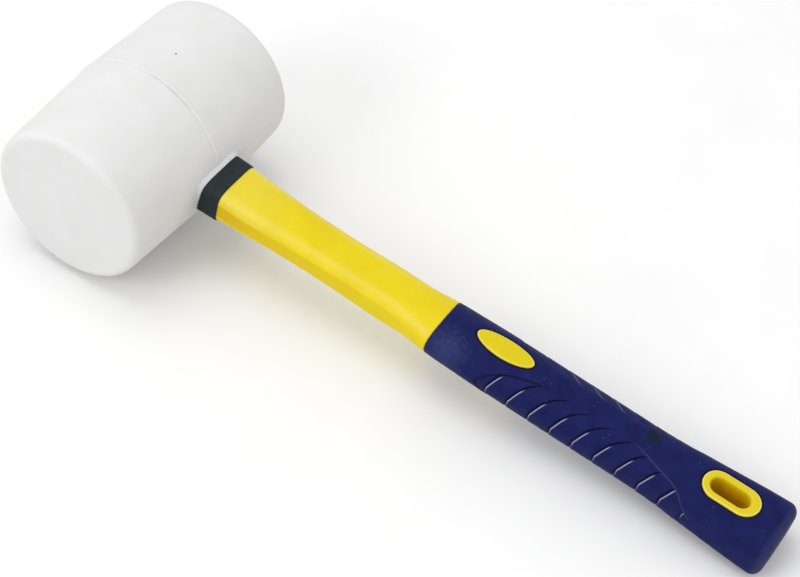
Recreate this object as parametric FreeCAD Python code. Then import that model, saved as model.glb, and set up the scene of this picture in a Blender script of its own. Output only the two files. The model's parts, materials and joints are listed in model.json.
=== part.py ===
"""Rubber mallet with a plastic-jacketed glass-fibre handle, in millimetres.

Design frame: origin where the handle's axis crosses the head's axis, x along the
handle towards the butt, y along the head's axis, z square to the handle's broad face.
The finished pieces are then laid down as the mallet rests on a bench: on the head's
belly and the underside of the butt, with +Z up and the origin at the bottom centre.
"""

import FreeCAD, Part
import math
import os

from FreeCAD import Placement, Rotation, Vector

# Head: two shallow cones, widest at the mould's parting line
HEAD_LENGTH = 111.0
BELLY_RADIUS = 40.0
FACE_RADIUS = 37.3
FACE_EDGE_RADIUS = 3.5
BEAD_HEIGHT = 0.35
BEAD_HALF_WIDTH = 0.7

# Lip of rubber that rises round the eye to meet the collar, higher on the upper side
LIP_TOP_X = 39.25
LIP_ROOT_X = 34.0
LIP_TOP_MARGIN = 0.3
LIP_ROOT_MARGIN = 1.6
LIP_TILT = 5.0

# Shaft: distance from the head's axis, half width, half depth, squareness, and the height
# of the creases that bound its flat sides. Squareness is the exponent of a superellipse:
# 2 is an oval, 5 nearly a rounded rectangle.
SHAFT = (
    (44.0, 13.1, 8.9, 4.6, 3.7),
    (48.6, 13.0, 8.75, 4.5, 3.7),
    (54.0, 12.9, 8.6, 4.0, 3.6),
    (60.0, 12.85, 8.5, 3.4, 3.5),
    (70.0, 12.5, 8.3, 2.95, 3.4),
    (80.0, 12.1, 8.0, 2.8, 3.4),
    (90.0, 11.8, 7.7, 2.8, 3.6),
    (100.0, 11.55, 7.45, 2.8, 3.9),
    (110.0, 11.5, 7.4, 2.8, 4.1),
    (120.0, 11.6, 7.5, 2.8, 4.3),
    (130.0, 11.75, 7.7, 2.8, 4.4),
    (138.0, 12.0, 8.0, 2.7, 3.8),
    (148.0, 12.7, 8.9, 2.4, 2.0),
    (158.0, 14.2, 10.3, 2.0, 0.7),
    (161.0, 14.3, 10.5, 2.0, 0.5),
)

# Grip: distance from the head's axis, half width, half depth, squareness
GRIP = (
    (155.0, 13.9, 10.1, 2.0),
    (158.0, 14.2, 10.3, 2.0),
    (172.0, 14.5, 11.1, 2.0),
    (187.0, 14.5, 11.4, 2.1),
    (220.0, 14.3, 11.4, 2.3),
    (245.0, 13.9, 11.4, 2.5),
    (262.0, 13.8, 11.4, 2.6),
    (280.0, 14.4, 11.4, 2.9),
    (297.0, 15.5, 11.4, 3.2),
    (310.0, 16.4, 11.4, 3.4),
    (319.6, 16.8, 11.4, 3.5),
)
SECTION_POINTS = 40
CROWN_POINTS = 20
BUTT_HALF_DEPTH = GRIP[-1][2]
BUTT_EDGE_RADIUS = 4.5
BUTT_STEPS = 8
BUTT_X = GRIP[-1][0] + BUTT_EDGE_RADIUS
GRIP_FRONT_X = 157.7
GRIP_FRONT_BOW = 50.0
FULL_GRIP_X = 165.0
GRIP_WALL = 2.6
GRIP_END_WALL = 7.0

# Collar: a shoulder between head and handle, with a sleeve that lines the eye
COLLAR_FRONT_X = 48.6
COLLAR_HALF_WIDTH = 13.5
COLLAR_HALF_DEPTH = 9.3
COLLAR_SQUARENESS = 4.5
COLLAR_FLARE = 0.3
SHOULDER_ROOT_X = 34.0
SLEEVE_HALF_WIDTH = 13.0
SLEEVE_HALF_DEPTH = 8.0
SLEEVE_CORNER = 6.2
SLEEVE_TOP_X = -22.0

# Tang: the end of the jacket inside the head
TANG_HALF_WIDTH = 11.5
TANG_HALF_DEPTH = 6.5
TANG_CORNER = 5.0
TANG_TOP_X = -32.0
TANG_GROOVE_DEPTH = 0.9
TANG_GROOVE_WIDTH = 2.4
TANG_GROOVES_X = (-29.0, -25.0)

# Flared top of the eye, filled with resin round the tang's end
FLARE_HALF_WIDTH = 16.5
FLARE_HALF_DEPTH = 10.5
RESIN_TOP_X = -36.0

# Glass-fibre rod
ROD_RADIUS = 4.5
ROD_TOP_X = -28.0
ROD_END_X = 272.0

# Thumb inlays and the lined hanging slot
INLAY_X = 187.5
INLAY_LENGTH = 28.0
INLAY_WIDTH = 10.8
INLAY_PROUD = 0.3
SLOT_X = 297.4
LINER_X = 297.9
LINER_LENGTH = 26.6
LINER_WIDTH = 15.2
SLOT_LENGTH = 18.2
SLOT_WIDTH = 8.2
LINER_MOUTH_RADIUS = 1.2
LINER_TRIM = 0.05  # height that the grip's own curve then takes off the rim

REACH = 60.0  # longer than anything that a cutting tool has to pass through


def section_wire(x, half_width, half_depth, squareness):
    """Closed smooth wire in the plane at x: a superellipse centred on the axis."""
    points = []
    for number in range(SECTION_POINTS):
        angle = 2 * math.pi * number / SECTION_POINTS
        across = abs(math.cos(angle) / half_width) ** squareness
        deep = abs(math.sin(angle) / half_depth) ** squareness
        reach = (across + deep) ** (-1 / squareness)
        points.append(Vector(x, reach * math.cos(angle), reach * math.sin(angle)))
    curve = Part.BSplineCurve()
    curve.interpolate(points, True)
    return Part.Wire([curve.toShape()])


def creased_wire(x, half_width, half_depth, squareness, crease):
    """Closed wire in the plane at x: a superellipse with its sides cut flat, which creases it."""
    full_width = half_width * (1 - (crease / half_depth) ** squareness) ** (-1 / squareness)
    first = math.atan2(crease, half_width)
    crown = []
    for number in range(CROWN_POINTS + 1):
        angle = first + (math.pi - 2 * first) * number / CROWN_POINTS
        across = abs(math.cos(angle) / full_width) ** squareness
        deep = abs(math.sin(angle) / half_depth) ** squareness
        reach = (across + deep) ** (-1 / squareness)
        crown.append(Vector(x, reach * math.cos(angle), reach * math.sin(angle)))
    keel = [Vector(x, -point.y, -point.z) for point in crown]
    edges = []
    for points, following in ((crown, keel), (keel, crown)):
        curve = Part.BSplineCurve()
        curve.interpolate(points)
        edges.append(curve.toShape())
        edges.append(Part.LineSegment(points[-1], following[0]).toShape())
    return Part.Wire(edges)


def rounded_wire(x, half_width, half_depth, corner):
    """Closed wire in the plane at x: a rectangle with round corners, centred on the axis."""
    flat_y = half_width - corner
    flat_z = half_depth - corner
    arcs = []
    for quarter in range(4):
        middle = math.radians(45 + 90 * quarter)
        centre_y = math.copysign(flat_y, math.cos(middle))
        centre_z = math.copysign(flat_z, math.sin(middle))
        centre = Vector(x, centre_y, centre_z)
        spokes = [middle + math.radians(turn) for turn in (-45, 0, 45)]
        arcs.append([centre + Vector(0, math.cos(turn), math.sin(turn)) * corner for turn in spokes])
    edges = []
    for number, (start, halfway, end) in enumerate(arcs):
        following = arcs[(number + 1) % 4][0]
        edges.append(Part.Arc(start, halfway, end).toShape())
        edges.append(Part.LineSegment(end, following).toShape())
    return Part.Wire(edges)


def prism(x_from, x_to, half_width, half_depth, corner):
    wire = rounded_wire(x_from, half_width, half_depth, corner)
    return Part.Face(wire).extrude(Vector(x_to - x_from, 0, 0))


def loft(wires):
    return Part.makeLoft(wires, True, False)


def block(x_from, x_to):
    """Everything within reach of the handle between two distances from the head."""
    corner = Vector(x_from, -REACH, -REACH)
    return Part.makeBox(x_to - x_from, 2 * REACH, 2 * REACH, corner)


def slot_prism(x, length, width, z_from, z_to):
    """Upright prism with a slot-shaped section, its long side along x."""
    run = (length - width) / 2
    radius = width / 2
    left, right = Vector(x - run, 0, z_from), Vector(x + run, 0, z_from)
    side = Vector(0, radius, 0)
    wire = Part.Wire([
        Part.LineSegment(left - side, right - side).toShape(),
        Part.Arc(right - side, right + Vector(radius, 0, 0), right + side).toShape(),
        Part.LineSegment(right + side, left + side).toShape(),
        Part.Arc(left + side, left - Vector(radius, 0, 0), left - side).toShape(),
    ])
    return Part.Face(wire).extrude(Vector(0, 0, z_to - z_from))


def oval_prism(x, length, width, z_from, z_to):
    ellipse = Part.Ellipse(Vector(x, 0, z_from), length / 2, width / 2)
    return Part.Face(Part.Wire([ellipse.toShape()])).extrude(Vector(0, 0, z_to - z_from))


def head_envelope():
    """The head without its eye: half of the profile, turned about the head's axis and mirrored."""
    half = HEAD_LENGTH / 2
    crest = BELLY_RADIUS - BEAD_HEIGHT
    lean = math.atan2(crest - FACE_RADIUS, half)
    edge_centre = Vector(FACE_RADIUS - FACE_EDGE_RADIUS, half - FACE_EDGE_RADIUS, 0)
    turns = (lean, (lean + math.pi / 2) / 2, math.pi / 2)
    edge_start, edge_middle, edge_end = (
        edge_centre + Vector(math.cos(turn), math.sin(turn), 0) * FACE_EDGE_RADIUS for turn in turns
    )
    bead_root = Vector(crest - BEAD_HALF_WIDTH * math.tan(lean), BEAD_HALF_WIDTH, 0)
    bead_top = Vector(BELLY_RADIUS, 0, 0)
    profile = Part.Wire([
        Part.LineSegment(Vector(0, 0, 0), bead_top).toShape(),
        Part.LineSegment(bead_top, bead_root).toShape(),
        Part.LineSegment(bead_root, edge_start).toShape(),
        Part.Arc(edge_start, edge_middle, edge_end).toShape(),
        Part.LineSegment(edge_end, Vector(0, half, 0)).toShape(),
        Part.LineSegment(Vector(0, half, 0), Vector(0, 0, 0)).toShape(),
    ])
    half_head = Part.Face(profile).revolve(Vector(0, 0, 0), Vector(0, 1, 0), 360)
    other_half = half_head.mirror(Vector(0, 0, 0), Vector(0, 1, 0))
    return half_head.fuse(other_half).removeSplitter()


def eye_lip():
    """Sloping rubber lip under the collar's foot, which gives it a flat seat."""
    sizes = ((LIP_ROOT_X, LIP_ROOT_MARGIN), (LIP_TOP_X, LIP_TOP_MARGIN))
    lip = loft([
        section_wire(x, COLLAR_HALF_WIDTH + margin, COLLAR_HALF_DEPTH + margin, COLLAR_SQUARENESS)
        for x, margin in sizes
    ])
    lip.rotate(Vector(LIP_TOP_X, 0, 0), Vector(0, 1, 0), LIP_TILT)
    return lip


def flare(x_top):
    """Inside of the eye's flared top, from the sleeve's end up to x_top."""
    share = (x_top - SLEEVE_TOP_X) / (RESIN_TOP_X - SLEEVE_TOP_X)
    wide = SLEEVE_HALF_WIDTH + share * (FLARE_HALF_WIDTH - SLEEVE_HALF_WIDTH)
    deep = SLEEVE_HALF_DEPTH + share * (FLARE_HALF_DEPTH - SLEEVE_HALF_DEPTH)
    return loft([
        rounded_wire(SLEEVE_TOP_X, SLEEVE_HALF_WIDTH, SLEEVE_HALF_DEPTH, SLEEVE_CORNER),
        rounded_wire(x_top, wide, deep, SLEEVE_CORNER),
    ])


def tang():
    """Tang with two grooves for the resin to grip."""
    bar = prism(TANG_TOP_X, COLLAR_FRONT_X, TANG_HALF_WIDTH, TANG_HALF_DEPTH, TANG_CORNER)
    for x in TANG_GROOVES_X:
        inner = prism(
            x - TANG_GROOVE_WIDTH / 2,
            x + TANG_GROOVE_WIDTH / 2,
            TANG_HALF_WIDTH - TANG_GROOVE_DEPTH,
            TANG_HALF_DEPTH - TANG_GROOVE_DEPTH,
            TANG_CORNER - TANG_GROOVE_DEPTH,
        )
        ring = block(x - TANG_GROOVE_WIDTH / 2, x + TANG_GROOVE_WIDTH / 2).cut(inner)
        bar = bar.cut(ring)
    return bar


def sleeve_envelope():
    return prism(
        SLEEVE_TOP_X, BELLY_RADIUS, SLEEVE_HALF_WIDTH, SLEEVE_HALF_DEPTH, SLEEVE_CORNER
    )


def shoulder_envelope():
    """The collar's visible band, a little wider towards the head."""
    flared_width = COLLAR_HALF_WIDTH + COLLAR_FLARE
    flared_depth = COLLAR_HALF_DEPTH + COLLAR_FLARE
    return loft([
        section_wire(SHOULDER_ROOT_X, flared_width, flared_depth, COLLAR_SQUARENESS),
        section_wire(COLLAR_FRONT_X, COLLAR_HALF_WIDTH, COLLAR_HALF_DEPTH, COLLAR_SQUARENESS),
    ])


def rounded_butt():
    """Tail of the handle beyond the last station, its sides turning in to a flat end."""
    x, half_width, half_depth, squareness = GRIP[-1]
    wires = []
    for step in range(BUTT_STEPS + 1):
        turn = math.pi / 2 * step / BUTT_STEPS
        inset = BUTT_EDGE_RADIUS * (1 - math.cos(turn))
        along = x + BUTT_EDGE_RADIUS * math.sin(turn)
        wires.append(section_wire(along, half_width - inset, half_depth - inset, squareness))
    return loft(wires)


def grip_loft(proud):
    """Grip up to the last station, grown by proud all round."""
    return loft([
        section_wire(x, half_width + proud, half_depth + proud, squareness)
        for x, half_width, half_depth, squareness in GRIP
    ])


def grip_region():
    """Everything behind the grip's front, whose edge bows towards the head at the sides."""
    centre = Vector(GRIP_FRONT_X + GRIP_FRONT_BOW, -REACH, 0)
    bow = Part.makeCylinder(GRIP_FRONT_BOW, 2 * REACH, centre, Vector(0, 1, 0))
    front = bow.common(block(GRIP_FRONT_X - 1, FULL_GRIP_X))
    return front.fuse(block(FULL_GRIP_X, BUTT_X + 1)).removeSplitter()


def shaft():
    """The jacket between the collar and the grip."""
    whole = loft([creased_wire(*station) for station in SHAFT])
    return whole.common(block(COLLAR_FRONT_X, FULL_GRIP_X)).cut(grip_region())


def under_grip():
    """The jacket's smaller section beneath the grip."""
    length = block(GRIP_FRONT_X, BUTT_X - GRIP_END_WALL)
    return grip_loft(-GRIP_WALL).common(length)


def thumb_inlay(jacket_core):
    """Oval set in the grip's upper broad face, down to the jacket."""
    oval = oval_prism(INLAY_X, INLAY_LENGTH, INLAY_WIDTH, 0, REACH)
    return oval.common(grip_loft(INLAY_PROUD)).cut(jacket_core)


def liner():
    """Slotted eyelet through the butt, its mouths rounded and its rim following the grip."""
    top = BUTT_HALF_DEPTH + INLAY_PROUD + LINER_TRIM
    body = slot_prism(LINER_X, LINER_LENGTH, LINER_WIDTH, -top, top)
    body = body.cut(slot_prism(SLOT_X, SLOT_LENGTH, SLOT_WIDTH, -REACH, REACH))
    mouths = [
        edge for edge in body.Edges
        if edge.BoundBox.ZLength < 1
        and all(abs(vertex.Y) < LINER_WIDTH / 2 - 1 for vertex in edge.Vertexes)
    ]
    return body.makeFillet(LINER_MOUTH_RADIUS, mouths).common(grip_loft(INLAY_PROUD))


def build():
    """Every piece in the design frame, by name."""
    grip_envelope = grip_loft(0).fuse(rounded_butt())
    head_shape = head_envelope().fuse(eye_lip())
    jacket_core = under_grip()
    tang_bar = tang()
    rod = Part.makeCylinder(
        ROD_RADIUS, ROD_END_X - ROD_TOP_X, Vector(ROD_TOP_X, 0, 0), Vector(1, 0, 0)
    )
    sleeve = sleeve_envelope()
    liner_hole = slot_prism(LINER_X, LINER_LENGTH, LINER_WIDTH, -REACH, REACH)
    window = oval_prism(INLAY_X, INLAY_LENGTH, INLAY_WIDTH, -REACH, REACH)
    inlay = thumb_inlay(jacket_core)
    shoulder = shoulder_envelope().cut(head_shape)

    return {
        "head": head_shape.cut(sleeve).cut(flare(-BELLY_RADIUS - 1)),
        "collar": shoulder.fuse(sleeve).cut(tang_bar).removeSplitter(),
        "eye_resin_plug": flare(RESIN_TOP_X).cut(tang_bar),
        "core_rod": rod,
        "handle_jacket": shaft().fuse([jacket_core, tang_bar])
        .removeSplitter()
        .cut(rod)
        .cut(liner_hole),
        "grip": grip_envelope.common(grip_region())
        .cut(jacket_core)
        .cut(liner_hole)
        .cut(window),
        "thumb_inlay_front": inlay,
        "thumb_inlay_back": inlay.mirror(Vector(0, 0, 0), Vector(0, 0, 1)),
        "hang_hole_liner": liner(),
    }


def resting_place():
    """Lays the mallet down: the belly and the butt's lower edge touch the bench."""
    arc_x = BUTT_X - BUTT_EDGE_RADIUS
    arc_z = BUTT_HALF_DEPTH - BUTT_EDGE_RADIUS
    slope = math.asin((BELLY_RADIUS - BUTT_EDGE_RADIUS) / math.hypot(arc_x, arc_z))
    slope -= math.atan2(arc_z, arc_x)
    far_end = arc_x * math.cos(slope) + arc_z * math.sin(slope) + BUTT_EDGE_RADIUS
    centre_x = (far_end - BELLY_RADIUS) / 2
    turn = Rotation(Vector(0, 1, 0), math.degrees(slope))
    print("handle slope in degrees", math.degrees(slope), "head's axis at x", -centre_x)
    return Placement(Vector(-centre_x, 0, BELLY_RADIUS), turn)


def main():
    os.makedirs("parts", exist_ok=True)
    place = resting_place()
    for name, shape in build().items():
        shape.Placement = place.multiply(shape.Placement)
        print(name, "solids", len(shape.Solids), "valid", shape.isValid(), "mm3", round(shape.Volume))
        shape.Solids[0].exportStep(f"parts/{name}.step")


main()
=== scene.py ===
"""Rubber mallet: detailed pieces, materials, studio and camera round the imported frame."""

import json
import math

import bmesh
import bpy
import numpy as np
from mathutils import Matrix, Vector, noise


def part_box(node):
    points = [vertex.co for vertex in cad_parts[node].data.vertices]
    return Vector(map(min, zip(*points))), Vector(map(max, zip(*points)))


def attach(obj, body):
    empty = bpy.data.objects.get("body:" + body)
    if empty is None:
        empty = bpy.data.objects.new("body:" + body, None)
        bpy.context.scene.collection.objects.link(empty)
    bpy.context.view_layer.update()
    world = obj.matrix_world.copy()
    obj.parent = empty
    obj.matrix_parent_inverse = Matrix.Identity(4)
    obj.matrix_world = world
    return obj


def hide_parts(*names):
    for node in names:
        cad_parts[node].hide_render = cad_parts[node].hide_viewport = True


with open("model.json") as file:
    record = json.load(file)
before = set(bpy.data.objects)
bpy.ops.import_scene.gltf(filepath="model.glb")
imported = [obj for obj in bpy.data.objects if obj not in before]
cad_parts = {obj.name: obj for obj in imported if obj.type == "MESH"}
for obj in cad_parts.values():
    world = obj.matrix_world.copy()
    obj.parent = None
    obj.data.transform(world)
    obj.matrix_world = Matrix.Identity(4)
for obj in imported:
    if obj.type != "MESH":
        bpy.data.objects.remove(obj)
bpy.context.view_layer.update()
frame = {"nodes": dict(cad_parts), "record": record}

MM_PER_METRE = 1000

# Design frame, as in the CAD source: millimetres, x along the handle from the head's axis,
# y along the head's axis, z square to the handle's broad face. PLACE takes it to the row frame.
mounts = {mount["name"]: mount for mount in frame["record"]["mounts"]}
face_centre = Vector(mounts["striking_face_a"]["pos_m"])
slot_axis = Vector(mounts["hang_slot"]["axis"])
slope = math.atan2(slot_axis.x, slot_axis.z)
PLACE = (
    Matrix.Translation((face_centre.x, 0, face_centre.z))
    @ Matrix.Rotation(slope, 4, "Y")
    @ Matrix.Scale(1 / MM_PER_METRE, 4)
)

# Turn between faces past which their edge is shaded sharp
SHARP_ANGLE = math.radians(42)

# How far inside the CAD's outermost faces the detailed pieces stay
SKIN = 0.03

# Head
head_low, head_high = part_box("head")
HEAD_HALF_LENGTH = (head_high.y - head_low.y) / 2 * MM_PER_METRE - SKIN
BELLY_RADIUS = (head_high.z - head_low.z) / 2 * MM_PER_METRE
FACE_RADIUS = 37.3
FACE_EDGE_RADIUS = 3.5
BEAD_HEIGHT = 0.35
BEAD_WIDTH = 0.55
CREST = BELLY_RADIUS - BEAD_HEIGHT
LEAN = math.atan2(CREST - FACE_RADIUS, HEAD_HALF_LENGTH)

# Parting line: how far from the middle its flash reaches, and the turn round the head's axis
# over which it is smudged. Then the place of the one speck of dirt.
SEAM_REACH = 3.0
SMUDGE = (math.radians(62), math.radians(90))
SPECK_PLACE = (-1.1, 16.7, 38.9)

# Lip of rubber that rises round the eye to meet the collar, higher on the upper side
LIP_TOP_X = 39.2
LIP_TILT = math.radians(5.0)
LIP_MARGIN = 0.08
LIP_FALL = 0.42
# Painted shade on the lip's wall, which faces the light more than the head beside it
LIP_SHADE = 0.45

# Shaft: distance from the head's axis, half width, half depth, squareness, and the height
# of the creases that bound its flat sides
SHAFT = (
    (44.0, 13.1, 8.9, 4.6, 3.7),
    (48.6, 13.0, 8.75, 4.5, 3.7),
    (54.0, 12.9, 8.6, 4.0, 3.6),
    (60.0, 12.85, 8.5, 3.4, 3.5),
    (70.0, 12.5, 8.3, 2.95, 3.4),
    (80.0, 12.1, 8.0, 2.8, 3.4),
    (90.0, 11.8, 7.7, 2.8, 3.6),
    (100.0, 11.55, 7.45, 2.8, 3.9),
    (110.0, 11.5, 7.4, 2.8, 4.1),
    (120.0, 11.6, 7.5, 2.8, 4.3),
    (130.0, 11.75, 7.7, 2.8, 4.4),
    (138.0, 12.0, 8.0, 2.7, 3.8),
    (148.0, 12.7, 8.9, 2.4, 2.0),
    (158.0, 14.2, 10.3, 2.0, 0.7),
    (161.0, 14.3, 10.5, 2.0, 0.5),
)
# Half width, half depth and squareness that set how points are spread round the shaft
SHAFT_SPREAD = (12.6, 7.6, 2.8)
CROWN_COUNT = 95
SIDE_COUNT = 15
# Rows of the shaft just past the collar, where shade is painted at the joint, and where the even
# rows begin
NEAR_COLLAR = (0, 0.25, 0.5, 0.8, 1.2, 1.8)
OPEN_SHAFT_X = 51.5

# Grip: distance from the head's axis, half width, half depth, squareness
GRIP = (
    (155.0, 13.9, 10.1, 2.0),
    (158.0, 14.2, 10.3, 2.0),
    (172.0, 14.5, 11.1, 2.0),
    (187.0, 14.5, 11.4, 2.1),
    (220.0, 14.3, 11.4, 2.3),
    (245.0, 13.9, 11.4, 2.5),
    (262.0, 13.8, 11.4, 2.6),
    (280.0, 14.4, 11.4, 2.9),
    (297.0, 15.5, 11.4, 3.2),
    (310.0, 16.4, 11.4, 3.4),
    (319.6, 16.8, 11.4, 3.5),
)
# Half width, half depth and squareness that set how points are spread round the grip
GRIP_SPREAD = (14.2, 11.4, 2.4)
LAST_STATION = GRIP[-1][0]
BUTT_EDGE_RADIUS = 4.5
BUTT_X = LAST_STATION + BUTT_EDGE_RADIUS
GRIP_FRONT_X = 157.7
GRIP_FRONT_BOW = 50.0
GRIP_EDGE_RADIUS = 0.5
GRIP_WALL = 2.6
UNDER_GRIP_END_X = BUTT_X - 7.0

# Collar, sleeve, tang and the eye's flared top. The sleeve, the tang and the flare are
# rectangles with round corners: half width, half depth and corner radius.
COLLAR_FRONT_X = 48.6
COLLAR_HALF_WIDTH = 13.5
COLLAR_HALF_DEPTH = 9.3
COLLAR_SQUARENESS = 4.5
COLLAR_FLARE = 0.3
COLLAR_EDGE_RADIUS = 0.5
SHOULDER_ROOT_X = 34.0
SLEEVE = (13.0, 8.0, 6.2)
SLEEVE_TOP_X = -22.0
# Extra rows part of the way down the sleeve
INNER_SLEEVE_X = 20.0
OUTER_SLEEVE_X = 10.0
TANG = (11.5, 6.5, 5.0)
TANG_TOP_X = -32.0
TANG_GROOVE_DEPTH = 0.9
TANG_GROOVE_WIDTH = 2.4
TANG_GROOVES_X = (-29.0, -25.0)
TANG_EDGE_RADIUS = 0.5
FLARED = (16.5, 10.5, 6.2)
RESIN_TOP_X = -36.0
EYE_RIM_RADIUS = 1.5
# The eye's rim: its turn in radians, and how far its last slope is carried on
EYE_RIM_TURN = 1.05
EYE_RIM_RUN = 1.5
# Rough place of the eye's mouth, and what sets how points are spread round the eye
EYE_MOUTH_X = -38.0
EYE_SPREAD = (*FLARED[:2], 3.0)
MENISCUS = 0.9
MENISCUS_REACH = 1.3

# Glass-fibre rod, thumb inlays and the lined hanging slot
ROD_RADIUS = 4.5
ROD_TOP_X = -28.0
ROD_END_X = 272.0
INLAY_X = 187.5
INLAY_HALF_LENGTH = 14.0
INLAY_HALF_WIDTH = 5.4
INLAY_PROUD = 0.3
INLAY_EDGE_RADIUS = 0.4
SLOT_X = 297.4
LINER_X = 297.9
LINER_RUN = 5.7
LINER_RADIUS = 7.6
SLOT_RUN = 5.0
SLOT_RADIUS = 4.1
LINER_MOUTH_RADIUS = 1.2
LINER_EDGE_RADIUS = 0.5
FIT_GAP = 0.12
CUTTER_REACH = 20.0
# Points round an outline
OUTLINE_COUNT = 128
LINER_COUNT = 160

# Relief on the grip's sides: sunk panels crossed by curved grooves.
# Outline of a panel: distance from the head's axis, and half height round the side
PANEL_EDGE = (
    (182.9, 0.0),
    (186.4, 4.4),
    (189.8, 7.4),
    (193.9, 10.0),
    (199.9, 12.4),
    (208.7, 14.9),
    (232.0, 16.2),
    (254.0, 15.8),
    (269.3, 11.7),
    (278.1, 9.1),
    (288.5, 0.0),
)
PANEL_DEPTH = 0.22
CRESCENT_DEPTH = 0.42
FIRST_GROOVE_X = 188.9
GROOVE_PITCH = 10.69
GROOVE_COUNT = 10
GROOVE_LEAN = 0.38
GROOVE_CURL = 0.0001
LEAN_LIMIT = 17.0
LOWER_LEAN = 0.06
# Where the rows' lean is complete, and where it fades out towards the butt
LEAN_FULL_X = 183
LEAN_FADE = (277, 315)
# Each groove's section: distance past the groove's middle, and height
GROOVE_PROFILE = (
    (-5.0, -0.02),
    (-1.4, -0.1),
    (-0.9, -0.2),
    (-0.35, -0.72),
    (0.0, -0.7),
    (0.35, 0.03),
    (0.7, 0.06),
    (5.0, -0.02),
)
# Rows near a groove's middle, close together at its walls
GROOVE_ROWS = (-1.4, -1.1, -0.85, -0.6, -0.35, -0.18, 0, 0.12, 0.24, 0.35, 0.5, 0.7, 1, 1.5)
# The painted highlight line's place on a groove's rear wall, and the grooves whose painted
# highlight tails show on the far side
HIGHLIGHT_LINE = 0.42
FIRST_TAIL = 2
LAST_TAIL = 4

# Dished edge of the grip round the thumb inlays and the liner
HOLE_EDGE_DEPTH = 0.3
HOLE_EDGE_START = 0.35
HOLE_EDGE_WIDTH = 0.5

# Camera and studio
LENS = 103.754
CAMERA_PLACE = (0.28089, -0.58321, 0.76164)
CAMERA_TURNS = (41.4465, -6.1191, 33.1567)
FLOOR_REACH = 6


# --- curves and sections ---------------------------------------------------------------


def smooth_curve(x, table):
    """Cubic curve through the table's points, with each slope taken from the neighbours."""
    stations, values = np.array(table).T
    slopes = np.gradient(values, stations)
    span = np.clip(np.searchsorted(stations, x) - 1, 0, len(stations) - 2)
    step = stations[span + 1] - stations[span]
    share = np.clip((x - stations[span]) / step, 0, 1)
    rest = 1 - share
    start = (1 + 2 * share) * rest**2 * values[span]
    end = (3 - 2 * share) * share**2 * values[span + 1]
    leave = share * rest**2 * step * slopes[span]
    arrive = share**2 * rest * step * slopes[span + 1]
    return start + end + leave - arrive


def smooth_step(value, low, high):
    """0 up to low, 1 from high, and a soft S between them."""
    share = np.clip((value - low) / (high - low), 0, 1)
    return share**2 * (3 - 2 * share)


def bell(value, width):
    """1 where the value is 0, and softly down to 0 beyond the width."""
    return np.exp(-((value / width) ** 2))


def table_at(x, table):
    """Every measure of a table's stations at x."""
    columns = range(1, len(table[0]))
    return [smooth_curve(x, [(row[0], row[part]) for row in table]) for part in columns]


def oval_reach(angle, half_width, half_depth, squareness):
    """Distance from the axis to a superellipse in a direction."""
    across = np.abs(np.cos(angle) / half_width) ** squareness
    deep = np.abs(np.sin(angle) / half_depth) ** squareness
    return (across + deep) ** (-1 / squareness)


def rounded_reach(angle, half_width, half_depth, corner):
    """Distance from the axis to a rectangle with round corners in a direction."""
    across = np.maximum(np.abs(np.cos(angle)), 1e-9)
    deep = np.maximum(np.abs(np.sin(angle)), 1e-9)
    flat = np.minimum(half_width / across, half_depth / deep)
    centre_y = half_width - corner
    centre_z = half_depth - corner
    along = across * centre_y + deep * centre_z
    inside = np.maximum(along**2 - centre_y**2 - centre_z**2 + corner**2, 0)
    on_corner = (flat * across > centre_y) & (flat * deep > centre_z)
    return np.where(on_corner, along + np.sqrt(inside), flat)


def grip_reach(x, angle, proud=0.0):
    """Distance from the axis to the grip's surface, or to one that stands proud of it."""
    half_width, half_depth, squareness = table_at(x, GRIP)
    return oval_reach(angle, half_width + proud, half_depth + proud, squareness)


def grip_front(height):
    """The grip's front edge bows towards the head at the sides."""
    return GRIP_FRONT_X + GRIP_FRONT_BOW - np.sqrt(GRIP_FRONT_BOW**2 - height**2)


def shaft_section(x, crown_shares):
    """Directions and distances round the shaft at x, with a point on each of its four creases."""
    half_width, half_depth, squareness, crease = table_at(x, SHAFT)
    full_width = half_width * (1 - (crease / half_depth) ** squareness) ** (-1 / squareness)
    crease_turn = np.arctan2(crease, half_width)
    crown = crease_turn + (math.pi - 2 * crease_turn) * crown_shares
    crown_reach = oval_reach(crown, full_width, half_depth, squareness)
    side = crease_turn * (2 * (np.arange(SIDE_COUNT) + 1) / (SIDE_COUNT + 1) - 1)
    side_reach = half_width / np.cos(side)
    angles = np.concatenate([crown, side + math.pi, crown + math.pi, side + 2 * math.pi])
    return angles, np.concatenate([crown_reach, side_reach, crown_reach, side_reach])


def bowed_section(x, crown_shares):
    """Section of the shaft where x differs from point to point."""
    places = np.linspace(x.min(), x.max(), 9)
    sections = np.array([shaft_section(place, crown_shares) for place in places])
    columns = np.moveaxis(sections, 0, -1)
    return [
        np.array([np.interp(place, places, column) for place, column in zip(x, measure)])
        for measure in columns
    ]


def way_round(angle, half_width, half_depth, squareness):
    """Distance gone round a superellipse at each of the directions, from the first one on."""
    distance = oval_reach(angle, half_width, half_depth, squareness)
    steps = np.hypot(np.diff(distance * np.cos(angle)), np.diff(distance * np.sin(angle)))
    return np.concatenate([[0], np.cumsum(steps)])


def even_angles(count, half_width, half_depth, squareness):
    """Directions whose points are evenly spaced round a superellipse."""
    angle = np.linspace(0, 2 * math.pi, 7201)
    along = way_round(angle, half_width, half_depth, squareness)
    return np.interp(np.arange(count) / count * along[-1], along, angle)


def side_height(angles):
    """Distance round the grip from the middle of its side, negative on the lower half."""
    quarter = np.linspace(0, math.pi / 2, 1801)
    folded = np.arctan2(np.abs(np.sin(angles)), np.abs(np.cos(angles)))
    return np.sign(np.sin(angles)) * np.interp(folded, quarter, way_round(quarter, *GRIP_SPREAD))


def grip_top(x, y, proud=0.0):
    """Height of the grip's broad face above its axis."""
    half_width, half_depth, squareness = table_at(x, GRIP)
    share = np.clip(np.abs(y) / (half_width + proud), 0, 1)
    return (half_depth + proud) * (1 - share**squareness) ** (1 / squareness)


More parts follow.
